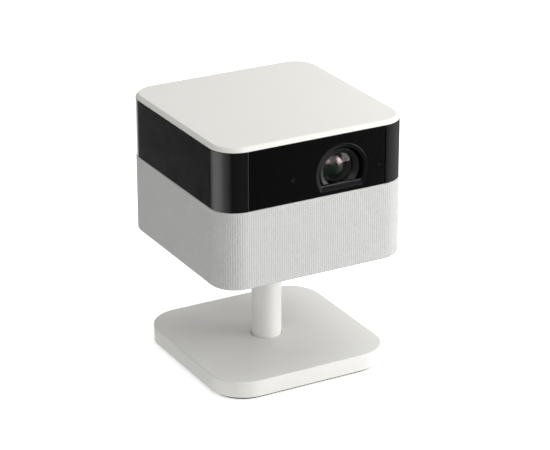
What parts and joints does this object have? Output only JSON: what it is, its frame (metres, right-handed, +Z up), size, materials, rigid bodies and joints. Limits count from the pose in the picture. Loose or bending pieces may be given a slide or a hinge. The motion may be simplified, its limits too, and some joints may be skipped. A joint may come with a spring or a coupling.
{
  "type": "home projector",
  "caption": "Square home projector with a cloth-covered lower half, a glossy dark band with a recessed lens and a pale lid, tilting on a round column over a flat square base.",
  "frame": {"origin": "centre of the underside of the rubber pad, on the surface the projector stands on", "axes": "+Z up along the column; the lens looks along -Y; +X to the right of someone facing the lens"},
  "size_m": [0.184, 0.184, 0.241],
  "materials": {
    "pad_rubber": "matte",
    "weight_iron": "matte",
    "stand_white": "satin",
    "column_white": "satin",
    "steel": "satin",
    "dark_steel": "matte",
    "brass": "satin",
    "bush_plastic": "satin",
    "underside_plastic": "matte",
    "cloth": "matte",
    "grille_plastic": "matte",
    "band_gloss": "gloss",
    "window_gloss": "gloss",
    "surround_black": "satin",
    "vent_black": "matte",
    "lid_white": "satin",
    "lens_glass": "gloss",
    "optic_glass": "gloss",
    "barrel_black": "satin",
    "engine_metal": "satin",
    "gear_plastic": "satin",
    "copper": "satin",
    "fin_aluminium": "satin",
    "fan_black": "satin",
    "board_green": "satin",
    "socket_metal": "satin",
    "box_black": "matte",
    "cone_black": "matte",
    "button_black": "satin",
    "filter_grey": "matte"
  },
  "bodies": {
    "base": {"foot_pad": "pad_rubber", "base_cover": "steel", "base_weight": "weight_iron", "base_plate": "stand_white", "base_screws": "dark_steel", "swivel_bush": "bush_plastic"},
    "column": {"column_foot": "steel", "column_tube": "column_white", "tie_bolt": "dark_steel", "swivel_nut": "steel", "wave_washer": "steel", "hinge_head": "steel"},
    "head": {"tilt_axle": "steel", "hinge_brackets": "steel", "friction_washers": "brass", "axle_nuts": "dark_steel", "stand_channel": "underside_plastic", "bottom_cover": "underside_plastic", "dust_filter": "filter_grey", "chassis_plate": "steel", "frame_posts": "steel", "case_screws": "dark_steel", "speaker_grille": "grille_plastic", "speaker_cloth": "cloth", "deck_frame": "engine_metal", "side_band": "band_gloss", "front_window": "window_gloss", "lens_surround": "surround_black", "rear_panel": "vent_black", "top_cover": "lid_white", "engine_housing": "engine_metal", "engine_lid": "engine_metal", "lens_barrel": "barrel_black", "front_lens": "lens_glass", "focus_motor": "steel", "prism": "optic_glass", "imager_board": "board_green", "led_modules": "copper", "beam_optics": "optic_glass", "heat_sink": "fin_aluminium", "heat_pipes": "copper", "fan_frame": "fan_black", "blower_housing": "fan_black", "main_board": "board_green", "io_board": "board_green", "hdmi_port": "socket_metal", "usb_port": "socket_metal", "dc_inlet": "vent_black", "sensor_modules": "window_gloss", "speaker_boxes": "box_black", "speaker_drivers": "steel"},
    "focus_ring": {"focus_ring": "gear_plastic"},
    "focus_pinion": {"focus_pinion": "gear_plastic"},
    "focus_cell": {"focus_cell": "barrel_black", "rear_lens": "optic_glass"},
    "exhaust_fan": {"fan_rotor": "fan_black"},
    "blower": {"blower_rotor": "fan_black"},
    "power_button": {"power_button": "button_black"},
    "left_cone": {"cone_left": "cone_black"},
    "right_cone": {"cone_right": "cone_black"}
  },
  "joints": [
    {"name": "base_swivel", "type": "hinge", "parent": "base", "child": "column", "pos_m": [0, 0, 0.0145], "axis": [0, 0, 1], "continuous": true},
    {"name": "head_tilt", "type": "hinge", "parent": "column", "child": "head", "pos_m": [0, 0, 0.1245], "axis": [-1, 0, 0], "range_deg": [0, 90]},
    {"name": "focus_turn", "type": "hinge", "parent": "head", "child": "focus_ring", "pos_m": [0.0238, -0.069, 0.2025], "axis": [0, -1, 0], "range_deg": [-30, 30]},
    {"name": "pinion_turn", "type": "hinge", "parent": "head", "child": "focus_pinion", "pos_m": [-0.0062, -0.069, 0.2025], "axis": [0, -1, 0], "range_deg": [-122, 122]},
    {"name": "focus_travel", "type": "slide", "parent": "head", "child": "focus_cell", "axis": [0, -1, 0], "range_m": [-0.0012, 0.0012]},
    {"name": "exhaust_spin", "type": "hinge", "parent": "head", "child": "exhaust_fan", "pos_m": [-0.035, 0.078, 0.2095], "axis": [0, 1, 0], "continuous": true},
    {"name": "blower_spin", "type": "hinge", "parent": "head", "child": "blower", "pos_m": [0.027, 0.055, 0.192], "axis": [0, 0, 1], "continuous": true},
    {"name": "button_press", "type": "slide", "parent": "head", "child": "power_button", "axis": [0, -1, 0], "range_m": [0, 0.001], "stiffness_N_per_m": 2000},
    {"name": "left_cone_move", "type": "slide", "parent": "head", "child": "left_cone", "axis": [-1, 0, 0], "range_m": [-0.0012, 0.0012], "stiffness_N_per_m": 1500},
    {"name": "right_cone_move", "type": "slide", "parent": "head", "child": "right_cone", "axis": [1, 0, 0], "range_m": [-0.0012, 0.0012], "stiffness_N_per_m": 1500}
  ],
  "couplings": [
    {"joint": "pinion_turn", "follows": "focus_turn", "ratio": -4},
    {"joint": "focus_travel", "follows": "focus_turn", "m_per_rad": 0.0022}
  ]
}
